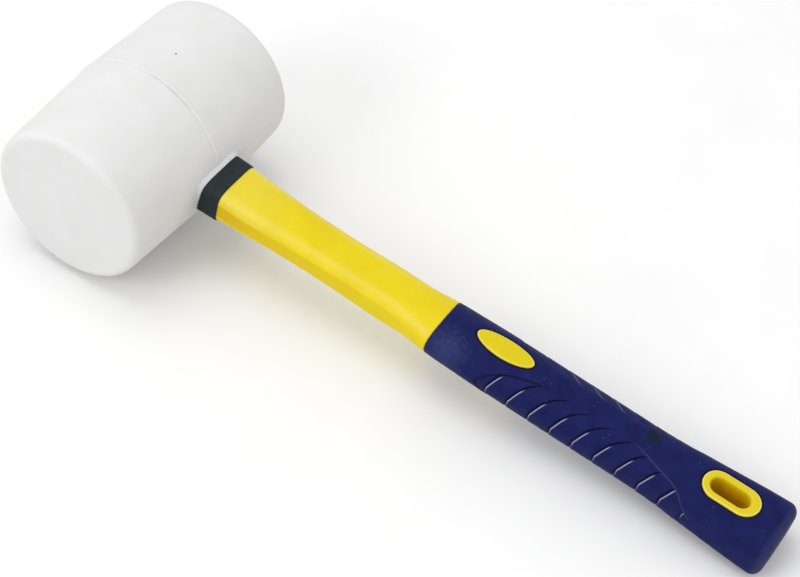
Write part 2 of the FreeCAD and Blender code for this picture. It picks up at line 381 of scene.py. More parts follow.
def head_surface(y, z):
    """Distance from the head's axis, towards the handle, of the head's surface."""
    radius = CREST - np.abs(y) * math.tan(LEAN)
    return np.sqrt(radius**2 - z**2)


# --- meshes ----------------------------------------------------------------------------


def ring(x, angle, distance):
    """Row of points round the handle's axis; x and distance may vary with the angle."""
    across = distance * np.cos(angle)
    return np.stack([across * 0 + x, across, distance * np.sin(angle)], axis=-1)


def solid(name, rows, endless=False):
    """Closed mesh on rows of points that each go round. Endless joins the last row to the first."""
    points = np.array(rows)
    row_count, column_count = points.shape[:2]
    corners = [tuple(point) for point in points.reshape(-1, 3)]
    index = np.arange(row_count * column_count).reshape(row_count, column_count)
    lower = index if endless else index[:-1]
    upper = np.roll(index, -1, axis=0) if endless else index[1:]
    around = [lower, np.roll(lower, -1, axis=1), np.roll(upper, -1, axis=1), upper]
    faces = np.stack(around, axis=-1).reshape(-1, 4).tolist()
    for row in () if endless else (0, row_count - 1):
        pole = len(corners)
        corners.append(tuple(points[row].mean(axis=0)))
        edge = zip(index[row].tolist(), np.roll(index[row], -1).tolist())
        faces += [(start, end, pole) for start, end in edge]
    mesh = bpy.data.meshes.new(name)
    mesh.from_pydata(corners, [], faces)
    mesh.transform(PLACE)
    work = bmesh.new()
    work.from_mesh(mesh)
    bmesh.ops.recalc_face_normals(work, faces=work.faces)
    work.to_mesh(mesh)
    work.free()
    return add_object(name, mesh)


def add_object(name, data):
    """Puts a mesh, a lamp or a camera into the scene."""
    made = bpy.data.objects.new(name, data)
    bpy.context.scene.collection.objects.link(made)
    return made


def carve(piece, *cutters):
    """Takes the cutters away from the piece, and deletes them."""
    for cutter in cutters:
        cut = piece.modifiers.new("cut", "BOOLEAN")
        cut.operation = "DIFFERENCE"
        cut.solver = "EXACT"
        cut.object = cutter
    graph = bpy.context.evaluated_depsgraph_get()
    carved = bpy.data.meshes.new_from_object(
        piece.evaluated_get(graph), preserve_all_data_layers=True, depsgraph=graph
    )
    piece.modifiers.clear()
    piece.data = carved
    for cutter in cutters:
        bpy.data.objects.remove(cutter)


def paint(piece, name, values):
    """Point attribute for a material, from values in the order of the piece's rows."""
    attribute = piece.data.attributes.new(name, "FLOAT", "POINT")
    painted = np.zeros(len(piece.data.vertices), np.float32)
    painted[: values.size] = values.ravel()
    attribute.data.foreach_set("value", painted)


def finish_piece(piece, node, material):
    """Shades a piece, and ties it to the frame."""
    mesh = piece.data
    mesh.polygons.foreach_set("use_smooth", [True] * len(mesh.polygons))
    mesh.set_sharp_from_angle(angle=SHARP_ANGLE)
    mesh.materials.clear()
    mesh.materials.append(material)
    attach(piece, "root")
    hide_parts(node)


def arc_steps(count):
    """Pairs of (1 - cos, sin) over a quarter turn."""
    turns = np.linspace(0, math.pi / 2, count + 1)
    return [(1 - math.cos(turn), math.sin(turn)) for turn in turns]


# --- head ------------------------------------------------------------------------------


def head_profile():
    """Radius and distance along the axis, from one face's middle to the seam."""
    centre_radius = FACE_RADIUS - FACE_EDGE_RADIUS
    centre_y = HEAD_HALF_LENGTH - FACE_EDGE_RADIUS
    flat = [(radius, HEAD_HALF_LENGTH) for radius in np.linspace(4, centre_radius - 1, 14)]
    edge = [
        (
            centre_radius + FACE_EDGE_RADIUS * math.cos(turn),
            centre_y + FACE_EDGE_RADIUS * math.sin(turn),
        )
        for turn in np.linspace(math.pi / 2, LEAN, 20)
    ]
    # Rows are closer together where the lip rises, and closest at the seam
    far_rows = np.linspace(edge[-1][1] - 1.4, 18, 22)
    lip_rows = np.linspace(17.4, 2.7, 36)
    seam_rows = np.linspace(2.4, 0, 17)
    wall_rows = np.concatenate([far_rows, lip_rows, seam_rows])
    wall = [(CREST - y * math.tan(LEAN), y) for y in wall_rows]
    return flat + edge + wall


def head_angles():
    """Directions round the head's axis, close together where the handle enters."""
    entry = 20
    close = np.radians(np.linspace(-entry, entry, 116, endpoint=False))
    open_run = np.radians(np.linspace(entry, 360 - entry, 210, endpoint=False))
    return np.concatenate([close, open_run])


def head_unevenness(point):
    """The soft casting's slow dents, in millimetres outwards, none at its faces."""
    broad = noise.noise(Vector(point) / 23.0)
    fine = noise.noise(Vector(point) / 9.0 + Vector((7.3, 1.1, 4.2)))
    fade = smooth_step(HEAD_HALF_LENGTH - abs(point[1]), 0, 6)
    return fade * (0.07 * broad + 0.03 * fine - 0.08)


def seam(y, angle):
    """Height of the trimmed flash at the parting line, then how pale it is, and its painted shade
    and dirt.
    """
    around = Vector((math.cos(angle), math.sin(angle), 0))
    # The line wanders, stands unevenly high and has small nicks
    wander = 0.22 * noise.noise(around * 5)
    strength = 0.65 + 0.55 * noise.noise(around * 14 + Vector((3, 0, 0)))
    nick = max(0.0, noise.noise(around * 45 + Vector((0, 5, 0))) - 0.15)
    bead = (strength - 0.9 * nick) * math.exp(-(((y - wander) / BEAD_WIDTH) ** 2))
    trough = strength * math.exp(-(((y - wander + 1.05) / 0.45) ** 2))
    # The trough beside the bead takes a faint painted shade all round; over the smudge it is darker
    # with dirt, and the bead is less pale from there on
    start, end = SMUDGE
    begun = smooth_step(angle, start - 0.1, start)
    smudged = begun * (1 - smooth_step(angle, end, end + 0.1))
    dulled = begun * (1 - smooth_step(angle, end + 0.2, end + 0.6))
    height = BEAD_HEIGHT * (bead - 0.6 * trough)
    return height, bead * (0.65 - 0.45 * dulled), trough * (0.2 + 0.8 * smudged)


def collar_gap(y, z):
    """Distance outside the collar's outline, negative beneath it."""
    wide = COLLAR_HALF_WIDTH + COLLAR_FLARE
    deep = COLLAR_HALF_DEPTH + COLLAR_FLARE
    return np.hypot(y, z) - oval_reach(np.arctan2(z, y), wide, deep, COLLAR_SQUARENESS)


def head_point(radius, y, angle):
    """Place of a point on the uneven head, then how pale it is, and its painted shade and dirt."""
    lift = head_unevenness((radius * math.cos(angle), y, radius * math.sin(angle)))
    pale = dirt_and_shade = 0.0
    if abs(y) < SEAM_REACH:
        height, pale, dirt_and_shade = seam(y, angle)
        lift = lift * abs(y) / SEAM_REACH + height
    lifted = radius + lift
    return lifted * math.cos(angle), y, lifted * math.sin(angle), pale, dirt_and_shade


def make_head():
    half = head_profile()
    profile = half + [(radius, -y) for radius, y in half[-2::-1]]
    angles = head_angles()
    grid = np.array([[head_point(radius, y, angle) for angle in angles] for radius, y in profile])
    points, pale, dirt_and_shade = grid[..., :3], grid[..., 3], grid[..., 4]
    lifted = raise_lip(points)
    head = solid("head", points)
    paint(head, "highlight_and_wear", pale * (1 - lifted))
    # Painted shade along the seam's trough and on the lip's wall, with the seam's smudge of dirt
    paint(head, "shade_and_soil", np.maximum(dirt_and_shade, LIP_SHADE * lifted))
    carve(head, eye_cutter())
    finish_piece(head, "head", white_rubber())


def lip_seat(z):
    """Distance from the head's axis of the lip's flat top, which leans with z."""
    return LIP_TOP_X + z * math.tan(LIP_TILT)


def raise_lip(points):
    """Draws the rubber up round the eye to the collar's seat. Returns how much of the way."""
    x, y, z = (points[..., part] for part in range(3))
    away = np.maximum(collar_gap(y, z) - LIP_MARGIN, 0)
    share = np.where(x > 0, bell(away, LIP_FALL), 0)
    points[..., 0] = x + share * (lip_seat(z) - x)
    return share


def eye_section(x):
    """Half width, half depth and corner radius of the eye at x."""
    share = np.clip((x - SLEEVE_TOP_X) / (RESIN_TOP_X - SLEEVE_TOP_X), 0, 2)
    return [low + share * (high - low) for low, high in zip(SLEEVE, FLARED)]


def eye_cutter():
    """The eye: straight from the handle's side, flared at the top, with a soft rim."""
    angles = even_angles(120, *EYE_SPREAD)
    sleeve = rounded_reach(angles, *SLEEVE)
    rows = [ring(x, angles, sleeve) for x in (BELLY_RADIUS + 6, 0, SLEEVE_TOP_X)]
    mouth = rounded_reach(angles, *eye_section(np.full_like(angles, EYE_MOUTH_X)))
    rim_x = EYE_RIM_RADIUS - head_surface(mouth * np.cos(angles), mouth * np.sin(angles))
    for share in np.linspace(0.1, 1, 9):
        x = SLEEVE_TOP_X + share * (rim_x - SLEEVE_TOP_X)
        rows.append(ring(x, angles, rounded_reach(angles, *eye_section(x))))
    rim_reach = rounded_reach(angles, *eye_section(rim_x))
    for turn in np.linspace(0.1, EYE_RIM_TURN, 8):
        x = rim_x - EYE_RIM_RADIUS * math.sin(turn)
        distance = rim_reach + EYE_RIM_RADIUS * (1 - math.cos(turn))
        rows.append(ring(x, angles, distance))
    distance = distance + EYE_RIM_RUN * math.tan(EYE_RIM_TURN)
    rows.append(ring(x - EYE_RIM_RUN, angles, distance))
    rows.append(ring(-BELLY_RADIUS - CUTTER_REACH, angles, distance))
    return solid("eye_cutter", rows)


# --- collar, jacket and resin ----------------------------------------------------------


def shoulder_reach(x, angle):
    """Distance from the axis to the collar's flank, which widens towards the head."""
    share = (COLLAR_FRONT_X - x) / (COLLAR_FRONT_X - SHOULDER_ROOT_X)
    wide = COLLAR_HALF_WIDTH + share * COLLAR_FLARE
    deep = COLLAR_HALF_DEPTH + share * COLLAR_FLARE
    return oval_reach(angle, wide, deep, COLLAR_SQUARENESS)


def make_collar():
    """Shoulder that sits on the head, with the sleeve that lines the eye."""
    angles = even_angles(220, COLLAR_HALF_WIDTH, COLLAR_HALF_DEPTH, COLLAR_SQUARENESS)
    foot = lip_seat(shoulder_reach(LIP_TOP_X, angles) * np.sin(angles)) + FIT_GAP
    band_start = foot + COLLAR_EDGE_RADIUS
    band_end = COLLAR_FRONT_X - COLLAR_EDGE_RADIUS
    rows = []
    for inset, rise in reversed(arc_steps(5)):
        x = band_start - COLLAR_EDGE_RADIUS * rise
        rows.append(ring(x, angles, shoulder_reach(x, angles) - COLLAR_EDGE_RADIUS * inset))
    for share in np.linspace(0, 1, 20)[1:-1]:
        x = band_start + share * (band_end - band_start)
        rows.append(ring(x, angles, shoulder_reach(x, angles)))
    for inset, rise in arc_steps(6):
        x = band_end + COLLAR_EDGE_RADIUS * rise
        rows.append(ring(x, angles, shoulder_reach(band_end, angles) - COLLAR_EDGE_RADIUS * inset))
    inner, outer = (rounded_reach(angles, *section) for section in (TANG, SLEEVE))
    rows += [ring(x, angles, inner) for x in (COLLAR_FRONT_X, INNER_SLEEVE_X, SLEEVE_TOP_X)]
    rows += [ring(x, angles, outer) for x in (SLEEVE_TOP_X, OUTER_SLEEVE_X, foot)]
    collar = solid("collar", rows, endless=True)
    finish_piece(collar, "collar", black_plastic())


def tang_rows(angles):
    """The tang from its end to the collar, with the grooves that key it into the resin."""
    reach = rounded_reach(angles, *TANG)
    rows = []
    for inset, rise in reversed(arc_steps(4)):
        x = TANG_TOP_X + TANG_EDGE_RADIUS * (1 - rise)
        rows.append(ring(x, angles, reach - TANG_EDGE_RADIUS * inset))
    narrow = rounded_reach(angles, *[size - TANG_GROOVE_DEPTH for size in TANG])
    for x in TANG_GROOVES_X:
        front, back = x - TANG_GROOVE_WIDTH / 2, x + TANG_GROOVE_WIDTH / 2
        for place, distance in ((front, reach), (front, narrow), (back, narrow), (back, reach)):
            rows.append(ring(place, angles, distance))
    rows.append(ring(COLLAR_FRONT_X, angles, reach))
    return rows


def make_jacket():
    """Shaft, tang and the smaller length beneath the grip, round the rod's bore."""
    half_turn = even_angles(2 * CROWN_COUNT, *SHAFT_SPREAD)[:CROWN_COUNT]
    crown_shares = half_turn / half_turn[-1]
    tang = tang_rows(shaft_section(COLLAR_FRONT_X, crown_shares)[0])
    open_shaft = np.linspace(OPEN_SHAFT_X, GRIP_FRONT_X - 1.5, 88)
    stations = np.concatenate([COLLAR_FRONT_X + np.array(NEAR_COLLAR), open_shaft])
    shaft = [ring(x, *shaft_section(x, crown_shares)) for x in stations]
    jacket = solid("handle_jacket", tang + shaft + under_grip_rows(crown_shares))
    # The shaft takes painted highlight and painted shade; the tang takes none
    for name, painted_values in zip(("highlight_and_wear", "shade_and_soil"), shaft_painted_light(stations, crown_shares)):
        unpainted_tang = np.zeros((len(tang), painted_values.shape[1]))
        paint(jacket, name, np.concatenate([unpainted_tang, painted_values]))
    carve(jacket, liner_cutter(), rod_cutter())
    finish_piece(jacket, "handle_jacket", yellow_plastic())


def under_grip_rows(crown_shares):
    """The jacket's step down at the grip's front edge, and its length beneath the grip."""
    angles, distance = shaft_section(GRIP_FRONT_X, crown_shares)
    front = grip_front(distance * np.sin(angles))
    rows = []
    for inset, rise in arc_steps(5):
        x = front - GRIP_EDGE_RADIUS * (1 - rise)
        angles, distance = bowed_section(x, crown_shares)
        rows.append(ring(x, angles, distance - GRIP_EDGE_RADIUS * inset))
    for x in np.linspace(GRIP_FRONT_X + 1.5, UNDER_GRIP_END_X, 50):
        rows.append(ring(x, angles, grip_reach(x, angles, -GRIP_WALL)))
    return rows


def shaft_painted_light(stations, crown_shares):
    """Painted highlight and painted shade on the shaft, at each of its stations and directions."""
    side = np.concatenate([crown_shares * 0, np.ones(SIDE_COUNT)] * 2)
    # Painted highlight on the crown near the collar and on the four rounded corners
    crown = 0.12 * (1 - smooth_step(stations, 55, 85))
    highlight_and_wear = np.outer(crown, 1 - side) + shaft_corner_highlight(crown_shares)
    # Painted shade on the flat sides, fading towards the grip, and all round at the joint with the
    # collar
    deep = 0.6 * (1 - 0.6 * smooth_step(stations, 50, 80)) * (1 - smooth_step(stations, 100, 140))
    joint = bell(stations - COLLAR_FRONT_X, 0.5)
    shade_and_soil = np.maximum(np.outer(deep + 0.3 * joint, side), 0.5 * joint[:, None])
    return highlight_and_wear, shade_and_soil


def shaft_corner_highlight(crown_shares):
    """Painted highlight for each direction round the shaft: its four rounded corners are paler."""
    from_corner = np.minimum(crown_shares, 1 - crown_shares) - 0.13
    return np.concatenate([0.2 * bell(from_corner, 0.06), np.zeros(SIDE_COUNT)] * 2)


def rod_cutter():
    """The rod's bore."""
    angles = np.linspace(0, 2 * math.pi, 64, endpoint=False)
    bore = np.full_like(angles, ROD_RADIUS)
    return solid("rod_cutter", [ring(x, angles, bore) for x in (ROD_TOP_X, 120, ROD_END_X)])


def make_resin():
    """Poured resin round the tang's end, its top drawn up at the walls."""
    angles = even_angles(160, *EYE_SPREAD)
    rows = []
    for x in np.linspace(SLEEVE_TOP_X, RESIN_TOP_X + 0.3, 8):
        rows.append(ring(x, angles, rounded_reach(angles, *eye_section(x))))
    rim = rounded_reach(angles, *eye_section(RESIN_TOP_X))
    for share in np.linspace(1, 0.04, 28):
        distance = rim * share
        draw = MENISCUS * np.exp(-(rim - distance) / MENISCUS_REACH)
        places = zip(distance * np.cos(angles), distance * np.sin(angles))
        ripple = np.array([0.12 * noise.noise(Vector((*place, 0)) / 6) for place in places])
        rows.append(ring(RESIN_TOP_X + MENISCUS - draw + ripple, angles, distance))
    resin = solid("eye_resin_plug", rows)
    carve(resin, solid("tang_cutter", tang_rows(angles)))
    finish_piece(resin, "eye_resin_plug", cured_resin())


# --- grip ------------------------------------------------------------------------------


def groove_lean(height):
    """How far a groove has run towards the butt at a distance up from the side's middle."""
    above = np.clip(height, 0, LEAN_LIMIT)
    below = np.clip(height, -LEAN_LIMIT, 0)
    return GROOVE_LEAN * above + GROOVE_CURL * above**4 + LOWER_LEAN * below


def grip_stations():
    """Rows along the grip, close together where a groove has its walls."""
    grooves = FIRST_GROOVE_X + GROOVE_PITCH * np.arange(GROOVE_COUNT)
    between = np.linspace(2.2, GROOVE_PITCH - 2.1, 12)
    front = np.concatenate([np.arange(160, 167, 0.9), np.arange(167, 187.2, 0.45)])
    panel = [groove + np.concatenate([GROOVE_ROWS, between]) for groove in grooves]
    tail = np.linspace(grooves[-1] + 10, LAST_STATION, 50)
    return np.concatenate([front, *panel, tail])


def inside_panel(x, height):
    """Distance inside the edge of the sunk panel, negative outside it."""
    edge = smooth_curve(x, PANEL_EDGE)
    edge_slope = smooth_curve(x + 0.5, PANEL_EDGE) - smooth_curve(x - 0.5, PANEL_EDGE)
    inside = (edge - np.abs(height)) / np.sqrt(1 + edge_slope**2)
    first_x, last_x = PANEL_EDGE[0][0], PANEL_EDGE[-1][0]
    return np.where((x > first_x) & (x < last_x), inside, -5.0)


def relief(station, x, height, near):
    """Depth of the side panels and their grooves, then the painted highlight and the painted shade
    at each point.

    Near is 1 on the grip's -y side and 0 on its +y side.
    """
    inside = inside_panel(x, height)
    # The panel's wall is steep at the front and softer further back
    panel = smooth_step(inside, -0.1, 0.5 + 2.0 * smooth_step(x, 200, 222))
    # Grooves run out towards the panel's edge, and the last one is shallow
    number = np.clip(np.round((station - FIRST_GROOVE_X) / GROOVE_PITCH), 0, GROOVE_COUNT - 1)
    offset = station - FIRST_GROOVE_X - number * GROOVE_PITCH
    shallow = (1 - 0.5 * smooth_step(height, 10, 16)) * (1 - 0.65 * smooth_step(-height, 1.5, 6))
    last_share = np.where(number == GROOVE_COUNT - 1, 0.5, 1)
    strength = smooth_step(inside, 0.0, 1.2) * shallow * last_share
    groove = np.interp(offset, *np.array(GROOVE_PROFILE).T) * strength
    # A sharp crescent follows the panel's front edge
    crescent = bell(inside - 0.15, 0.45) * (1 - smooth_step(x, 205, 222))
    depth = (groove - CRESCENT_DEPTH * crescent) * (0.3 + 0.7 * near) - PANEL_DEPTH * panel
    # Painted highlights: a line on the grooves' rear walls, fading up the side and weaker
    # underneath, the far side's tails, and the panel's edge at the back
    highlit = (1 - smooth_step(height, 7.5, 9.5)) * (0.35 + 0.65 * near)
    highlit = highlit * (0.4 + 0.6 * smooth_step(height, -3, 1))
    tails = smooth_step(height, 9, 11) * (1 - smooth_step(height, 14, 16)) * (1 - near)
    tails = tails * (FIRST_TAIL <= number) * (number <= LAST_TAIL)
    rear_edge = 0.08 * bell(inside - 0.1, 0.2) * smooth_step(x, 248, 264) * (height > 0) * near
    past_line = offset - HIGHLIGHT_LINE
    highlight_and_wear = bell(past_line, 0.2) * strength * highlit + 0.28 * tails * bell(past_line, 0.3)
    # Painted shade in the grooves and along the crescent
    shade_and_soil = bell(offset + 0.3, 0.5) * strength + 0.9 * crescent
    return depth, highlight_and_wear + rear_edge, shade_and_soil * (0.15 + 0.85 * near)


def hole_edges(x, y):
    """Nearness to the thumb inlays and the liner, 1 at their edges."""
    around = np.hypot((x - INLAY_X) / INLAY_HALF_LENGTH, y / INLAY_HALF_WIDTH)
    steepness = np.hypot((x - INLAY_X) / INLAY_HALF_LENGTH**2, y / INLAY_HALF_WIDTH**2)
    from_oval = (around - 1) * around / np.maximum(steepness, 1e-6)
    past_run = np.maximum(np.abs(x - LINER_X) - LINER_RUN, 0)
    from_liner = np.hypot(past_run, y) - LINER_RADIUS
    away = np.maximum(np.minimum(from_oval, from_liner) - HOLE_EDGE_START, 0)
    return bell(away, HOLE_EDGE_WIDTH)


def grip_row(x, angles, distance, highlight_and_wear=0.0, shade_and_soil=0.0):
    """A row of the grip's points, with the painted highlight and the painted shade at each one."""
    return ring(x, angles, distance), angles * 0 + highlight_and_wear, angles * 0 + shade_and_soil


def grip_front_rows(angles):
    """Down the grip's inside to its front edge, and round that edge."""
    rows = []
    for x in np.linspace(UNDER_GRIP_END_X, GRIP_FRONT_X + 1.5, 24):
        rows.append(grip_row(x, angles, grip_reach(x, angles, -GRIP_WALL)))
    front = grip_front(grip_reach(GRIP_FRONT_X, angles) * np.sin(angles))
    rows.append(grip_row(front, angles, grip_reach(front, angles, -GRIP_WALL)))
    for inset, rise in reversed(arc_steps(5)):
        x = front + GRIP_EDGE_RADIUS * (1 - rise)
        distance = grip_reach(x, angles) - GRIP_EDGE_RADIUS * inset
        # Painted shade round the grip's front edge, darkest where it turns down to the jacket
        rows.append(grip_row(x, angles, distance, shade_and_soil=inset))
    return rows


def grip_side_rows(angles):
    """The grip's outside with its relief. The rows lean with the grooves."""
    height = side_height(angles)
    on_broad_face = np.abs(np.sin(angles)) > 0.3
    near = np.cos(angles) < 0
    rows = []
    for station in grip_stations():
        begun = smooth_step(station, GRIP_FRONT_X + 3, LEAN_FULL_X)
        x = station + begun * (1 - smooth_step(station, *LEAN_FADE)) * groove_lean(height)
        depth, highlight_and_wear, shade_and_soil = relief(station, x, height, near)
        distance = grip_reach(x, angles)
        hole_edge = hole_edges(x, distance * np.cos(angles)) * on_broad_face
        # Round the inlays and the liner the grip's edge is sunk, and takes painted shade
        sunk = distance + depth - HOLE_EDGE_DEPTH * hole_edge
        rows.append(grip_row(x, angles, sunk, highlight_and_wear, shade_and_soil + hole_edge))
    return rows


def grip_butt_rows(angles):
    """The round edge of the butt, and its flat end."""
    half_width, half_depth, squareness = GRIP[-1][1:]
    rows = []
    for inset, rise in arc_steps(14)[1:]:
        drop = BUTT_EDGE_RADIUS * inset
        distance = oval_reach(angles, half_width - drop, half_depth - drop, squareness)
        x = LAST_STATION + (BUTT_EDGE_RADIUS - SKIN) * rise
        # Painted sheen along the butt's round edge
        rows.append(grip_row(x, angles, distance, highlight_and_wear=0.07 * rise * (1 - inset)))
    for share in (0.8, 0.6, 0.4, 0.2):
        rows.append(grip_row(BUTT_X - SKIN, angles, distance * share))
    return rows


def make_grip():
    angles = even_angles(208, *GRIP_SPREAD)
    rows = grip_front_rows(angles) + grip_side_rows(angles) + grip_butt_rows(angles)
    points, highlight_and_wear, shade_and_soil = zip(*rows)
    grip = solid("grip", points)
    paint(grip, "highlight_and_wear", np.array(highlight_and_wear))
    paint(grip, "shade_and_soil", np.array(shade_and_soil))
    carve(grip, liner_cutter(), inlay_cutter())
    shade_hole_edges(grip)
    finish_piece(grip, "grip", navy_soft_plastic())


def shade_hole_edges(grip):
    """Painted shade in the joints round the thumb inlays and the liner, on the carved mesh too."""
    count = len(grip.data.vertices)
    places = np.empty(3 * count)
    grip.data.vertices.foreach_get("co", places)
    back = np.array(PLACE.inverted())
    x, y, _ = (places.reshape(-1, 3) @ back[:3, :3].T + back[:3, 3]).T
    attribute = grip.data.attributes["shade_and_soil"]
    shade_and_soil = np.empty(count)
    attribute.data.foreach_get("value", shade_and_soil)
    attribute.data.foreach_set("value", np.maximum(shade_and_soil, hole_edges(x, y)))


# --- inlays and liner ------------------------------------------------------------------


def stadium(middle, run, radius, share):
    """Points of a slot outline about its middle, at even shares of its way round."""
    lengths = np.cumsum([0, math.pi * radius, 2 * run, math.pi * radius, 2 * run])
    along = share * lengths[-1]
    turn = np.where(along < lengths[2], np.minimum(along, lengths[1]), lengths[1]) / radius
    turn = turn + np.clip(along - lengths[2], 0, lengths[1]) / radius - math.pi / 2
    first_run = np.clip(along - lengths[1], 0, 2 * run)
    second_run = np.clip(along - lengths[3], 0, 2 * run)
    centre = run - first_run + second_run
    return middle + centre + radius * np.cos(turn), radius * np.sin(turn)


def level(x, y, z):
    """Row of points at a height that may vary."""
    return np.stack([x, y, x * 0 + z], axis=-1)


def flipped(rows, side):
    """Rows as they are for side 1, or mirrored to the lower face for side -1."""
    return [row * np.array([1, 1, side]) for row in rows]


def even_shares(count):
    """Even shares of a turn, from 0 on."""
    return np.arange(count) / count


def upright(name, outline):
    """Straight block on an outline, to cut a hole with."""
    return solid(name, [level(*outline, z) for z in (-CUTTER_REACH, 0, CUTTER_REACH)])


def liner_cutter():
    outline = stadium(LINER_X, LINER_RUN, LINER_RADIUS, even_shares(OUTLINE_COUNT))
    return upright("liner_cutter", outline)


def oval(half_length, half_width, turns):
    """Points of a thumb inlay's outline."""
    return INLAY_X + half_length * np.cos(turns), half_width * np.sin(turns)


def inlay_cutter():
    turns = even_shares(OUTLINE_COUNT) * 2 * math.pi
    return upright("inlay_cutter", oval(INLAY_HALF_LENGTH, INLAY_HALF_WIDTH, turns))


def make_inlay(name, side):
    """Crowned oval with a soft rim, seated on the jacket. Side is 1 for the top, -1 below."""
    turns = even_shares(OUTLINE_COUNT) * 2 * math.pi
    rows, highlight_and_wear = [], []
    half_length = INLAY_HALF_LENGTH - FIT_GAP
    half_width = INLAY_HALF_WIDTH - FIT_GAP
    flat_length = half_length - INLAY_EDGE_RADIUS
    flat_width = half_width - INLAY_EDGE_RADIUS
    # Painted highlight along the rim, strongest near its top
    for share in (*np.linspace(0.05, 0.94, 16), 0.965, 1):
        x, y = oval(flat_length * share, flat_width * share, turns)
        rows.append(level(x, y, grip_top(x, y, INLAY_PROUD)))
        highlight_and_wear.append(0.5 * smooth_step(share, 0.97, 1))
    for inset, rise in arc_steps(6)[1:]:
        out = INLAY_EDGE_RADIUS * rise
        x, y = oval(flat_length + out, flat_width + out, turns)
        rows.append(level(x, y, grip_top(x, y, INLAY_PROUD) - INLAY_EDGE_RADIUS * inset))
        highlight_and_wear.append(0.5 * (1 - smooth_step(inset, 0.15, 0.6)))
    for share in (1, 0.5, 0.1):
        x, y = oval(half_length * share, half_width * share, turns)
        rows.append(level(x, y, grip_top(x, y, -GRIP_WALL)))
    inlay = solid(name, flipped(rows, side))
    paint(inlay, "highlight_and_wear", np.repeat(highlight_and_wear, OUTLINE_COUNT))
    finish_piece(inlay, name, yellow_trim())


def liner_mouth(share):
    """Rows over the liner's upper mouth, from the outer wall to the inner one, and their painted
    highlight.
    """
    rows, highlight_and_wear = [], []
    flat_radius = LINER_RADIUS - FIT_GAP - LINER_EDGE_RADIUS
    for inset, rise in reversed(arc_steps(5)):
        x, y = stadium(LINER_X, LINER_RUN, flat_radius + LINER_EDGE_RADIUS * rise, share)
        rows.append(level(x, y, grip_top(x, y, INLAY_PROUD) - LINER_EDGE_RADIUS * inset))
        highlight_and_wear.append(0.7 * (1 - smooth_step(inset, 0.1, 0.5)))
    band = flat_radius - SLOT_RADIUS - LINER_MOUTH_RADIUS
    for part in (0.12, 0.33, 0.67, 0.9):
        run = LINER_RUN + (SLOT_RUN - LINER_RUN) * part
        middle = LINER_X + (SLOT_X - LINER_X) * part
        x, y = stadium(middle, run, flat_radius - band * part, share)
        rows.append(level(x, y, grip_top(x, y, INLAY_PROUD)))
        highlight_and_wear.append(0.03)
    for inset, rise in arc_steps(8):
        x, y = stadium(SLOT_X, SLOT_RUN, SLOT_RADIUS + LINER_MOUTH_RADIUS * (1 - rise), share)
        rows.append(level(x, y, grip_top(x, y, INLAY_PROUD) - LINER_MOUTH_RADIUS * inset))
        highlight_and_wear.append(0.08 * (1 - smooth_step(inset, 0.0, 0.15)))
    return rows, highlight_and_wear


def make_liner():
    """Rim round the hanging slot: painted highlight at both mouths, painted shade down the slot's
    inner wall.
    """
    share = even_shares(LINER_COUNT)
    mouth, highlit = liner_mouth(share)
    inner = stadium(SLOT_X, SLOT_RUN, SLOT_RADIUS, share)
    inner_wall = [level(*inner, z) for z in (8, 4, 0, -4, -8)]
    outer = stadium(LINER_X, LINER_RUN, LINER_RADIUS - FIT_GAP, share)
    outer_wall = [level(*outer, z) for z in (-8, 0, 8)]
    rows = mouth + inner_wall + flipped(mouth[::-1], -1) + outer_wall
    liner = solid("hang_hole_liner", rows, endless=True)
    highlight_and_wear = highlit + [0] * len(inner_wall) + highlit[::-1] + [0] * len(outer_wall)
    # Painted shade down the slot's inner wall
    shade_and_soil = [0] * len(mouth) + [1] * len(inner_wall) + [0] * (len(mouth) + len(outer_wall))
    paint(liner, "highlight_and_wear", np.repeat(highlight_and_wear, LINER_COUNT))
    paint(liner, "shade_and_soil", np.repeat(shade_and_soil, LINER_COUNT))
    finish_piece(liner, "hang_hole_liner", yellow_trim())


# --- materials -------------------------------------------------------------------------


def set_inputs(tree, shader, inputs):
    """Gives a node its inputs: sockets to link or values to set, by name or number."""
    for key, value in inputs.items():
        if isinstance(value, bpy.types.NodeSocket):
            tree.links.new(value, shader.inputs[key])
        else:
            shader.inputs[key].default_value = value


def add(tree, kind, inputs=None, **settings):
    """Adds a node with its settings and inputs."""
    made = tree.nodes.new(kind)
    for key, value in settings.items():
        setattr(made, key, value)
    set_inputs(tree, made, inputs or {})
    return made


def new_material(name):
    """A material, its node tree and its shader."""
    material = bpy.data.materials.new(name)
    material.use_nodes = True
    return material, material.node_tree, material.node_tree.nodes["Principled BSDF"]


def place_of(tree):
    return add(tree, "ShaderNodeTexCoord").outputs["Object"]


def spread(tree, value, low, high, from_low=0.0, from_high=1.0):
    """Takes a value's range to another one, and keeps it between low and high."""
    source = {"Value": value, "From Min": from_low, "From Max": from_high}
    ranged = add(tree, "ShaderNodeMapRange", source | {"To Min": low, "To Max": high})
    return ranged.outputs["Result"]


def mottle(tree, size, low, high, detail=3.0):
    """Soft noise with blobs of about size millimetres, between low and high."""
    inputs = {"Vector": place_of(tree), "Scale": MM_PER_METRE / size, "Detail": detail}
    value = add(tree, "ShaderNodeTexNoise", inputs).outputs["Fac"]
    return spread(tree, value, low, high, 0.3, 0.7)


def mix(tree, factor, first, second):
    """The first colour where the factor is 0, the second where it is 1."""
    inputs = {"Factor": factor, 6: first, 7: second}
    return add(tree, "ShaderNodeMix", inputs, data_type="RGBA").outputs[2]


def bumped(tree, height, depth, strength=1.0):
    """Normal with the height field's relief, depth in millimetres."""
    inputs = {"Height": height, "Distance": depth / MM_PER_METRE, "Strength": strength}
    return add(tree, "ShaderNodeBump", inputs).outputs["Normal"]


